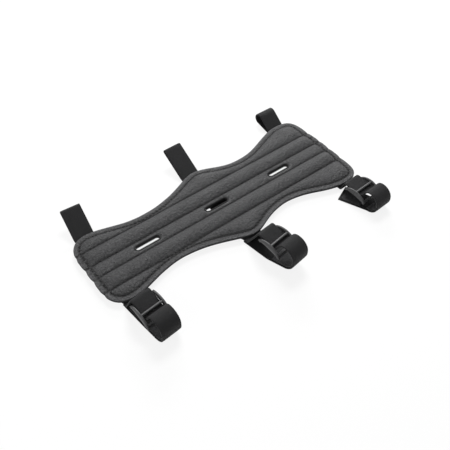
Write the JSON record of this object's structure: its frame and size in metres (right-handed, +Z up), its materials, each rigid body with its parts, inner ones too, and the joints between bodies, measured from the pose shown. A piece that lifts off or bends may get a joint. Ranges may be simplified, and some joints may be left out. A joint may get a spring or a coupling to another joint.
{
  "type": "forearm guard",
  "caption": "Quilted forearm guard for archery: padded panel of sewn channels with vent slots, elastic straps with sliders, hook-and-loop tails and sewn loops.",
  "frame": {"origin": "on the surface that the guard lies on, under the middle of the panel, on the underside of the middle strap", "axes": "+X to the elbow end, +Y to the side with the loops, +Z up through the cover"},
  "size_m": [0.2735, 0.1825, 0.0308],
  "materials": {
    "cover_leather": "satin grained",
    "padding": "matte foam",
    "lining_cloth": "matte knit",
    "elastic_webbing": "matte ribbed weave",
    "sewing_thread": "matte twisted thread",
    "buckle_plastic": "satin moulded",
    "hook_tape": "matte hooks",
    "loop_tape": "matte brushed loops"
  },
  "bodies": {
    "outer_strap_side": {"cover_outer_strap_side": "cover_leather", "foam_outer_strap_side": "padding", "lining_outer_strap_side": "lining_cloth", "wrist_elastic_outer_strap_side": "elastic_webbing", "middle_elastic_outer_strap_side": "elastic_webbing", "elbow_elastic_outer_strap_side": "elastic_webbing"},
    "inner_strap_side": {"cover_inner_strap_side": "cover_leather", "foam_inner_strap_side": "padding", "lining_inner_strap_side": "lining_cloth", "wrist_elastic_inner_strap_side": "elastic_webbing", "middle_elastic_inner_strap_side": "elastic_webbing", "elbow_elastic_inner_strap_side": "elastic_webbing"},
    "centre": {"cover_centre": "cover_leather", "foam_centre": "padding", "lining_centre": "lining_cloth", "wrist_elastic_centre": "elastic_webbing", "middle_elastic_centre": "elastic_webbing", "elbow_elastic_centre": "elastic_webbing", "wrist_slot_edging": "sewing_thread", "middle_slot_edging": "sewing_thread", "elbow_slot_edging": "sewing_thread"},
    "inner_loop_side": {"cover_inner_loop_side": "cover_leather", "foam_inner_loop_side": "padding", "lining_inner_loop_side": "lining_cloth", "wrist_elastic_inner_loop_side": "elastic_webbing", "middle_elastic_inner_loop_side": "elastic_webbing", "elbow_elastic_inner_loop_side": "elastic_webbing"},
    "outer_loop_side": {"cover_outer_loop_side": "cover_leather", "foam_outer_loop_side": "padding", "lining_outer_loop_side": "lining_cloth", "wrist_elastic_outer_loop_side": "elastic_webbing", "middle_elastic_outer_loop_side": "elastic_webbing", "elbow_elastic_outer_loop_side": "elastic_webbing"},
    "wrist_loop": {"wrist_loop": "elastic_webbing"},
    "wrist_strap": {"wrist_strap": "elastic_webbing", "wrist_loop_patch": "loop_tape", "wrist_hook_patch": "hook_tape"},
    "wrist_slider": {"wrist_slider": "buckle_plastic"},
    "middle_loop": {"middle_loop": "elastic_webbing"},
    "middle_strap": {"middle_strap": "elastic_webbing", "middle_loop_patch": "loop_tape", "middle_hook_patch": "hook_tape"},
    "middle_slider": {"middle_slider": "buckle_plastic"},
    "elbow_loop": {"elbow_loop": "elastic_webbing"},
    "elbow_strap": {"elbow_strap": "elastic_webbing", "elbow_loop_patch": "loop_tape", "elbow_hook_patch": "hook_tape"},
    "elbow_slider": {"elbow_slider": "buckle_plastic"}
  },
  "joints": [
    {"name": "inner_fold_loop_side", "type": "hinge", "parent": "centre", "child": "inner_loop_side", "pos_m": [0, 0.007, 0.0042], "axis": [-1, 0, 0], "range_deg": [0, 30], "stiffness_Nm_per_rad": 0.08},
    {"name": "outer_fold_loop_side", "type": "hinge", "parent": "inner_loop_side", "child": "outer_loop_side", "pos_m": [0, 0.024, 0.0042], "axis": [-1, 0, 0], "range_deg": [0, 30], "stiffness_Nm_per_rad": 0.08},
    {"name": "inner_fold_strap_side", "type": "hinge", "parent": "centre", "child": "inner_strap_side", "pos_m": [0, -0.007, 0.0042], "axis": [1, 0, 0], "range_deg": [0, 30], "stiffness_Nm_per_rad": 0.08},
    {"name": "outer_fold_strap_side", "type": "hinge", "parent": "inner_strap_side", "child": "outer_strap_side", "pos_m": [0, -0.024, 0.0042], "axis": [1, 0, 0], "range_deg": [0, 30], "stiffness_Nm_per_rad": 0.08},
    {"name": "wrist_loop_bend", "type": "hinge", "parent": "outer_loop_side", "child": "wrist_loop", "pos_m": [-0.116, 0.0441, 0.0032], "axis": [0.9976, -0.0698, 0], "range_deg": [-60, 50], "stiffness_Nm_per_rad": 0.02},
    {"name": "middle_loop_bend", "type": "hinge", "parent": "outer_loop_side", "child": "middle_loop", "pos_m": [0.005, 0.0511, 0.0032], "axis": [0.9998, 0.0175, 0], "range_deg": [-60, 50], "stiffness_Nm_per_rad": 0.02},
    {"name": "elbow_loop_bend", "type": "hinge", "parent": "outer_loop_side", "child": "elbow_loop", "pos_m": [0.118, 0.0544, 0.0032], "axis": [1, 0, 0], "range_deg": [-60, 50], "stiffness_Nm_per_rad": 0.02},
    {"name": "wrist_strap_bend", "type": "hinge", "parent": "outer_strap_side", "child": "wrist_strap", "pos_m": [-0.11638, -0.03712, 0.002], "axis": [0.9962, 0.0872, 0], "range_deg": [0, 75]},
    {"name": "wrist_slider_slide", "type": "slide", "parent": "wrist_strap", "child": "wrist_slider", "axis": [0.0815, -0.9317, -0.3539], "range_m": [-0.002, 0.002]},
    {"name": "middle_strap_bend", "type": "hinge", "parent": "outer_strap_side", "child": "middle_strap", "pos_m": [0.00439, -0.04414, 0.002], "axis": [0.9903, 0.1392, 0], "range_deg": [0, 75]},
    {"name": "middle_slider_slide", "type": "slide", "parent": "middle_strap", "child": "middle_slider", "axis": [0.1344, -0.956, -0.2609], "range_m": [-0.002, 0.002]},
    {"name": "elbow_strap_bend", "type": "hinge", "parent": "outer_strap_side", "child": "elbow_strap", "pos_m": [0.11777, -0.04741, 0.002], "axis": [0.9986, 0.0523, 0], "range_deg": [0, 75]},
    {"name": "elbow_slider_slide", "type": "slide", "parent": "elbow_strap", "child": "elbow_slider", "axis": [0.052, -0.9926, -0.1093], "range_m": [-0.002, 0.002]}
  ]
}
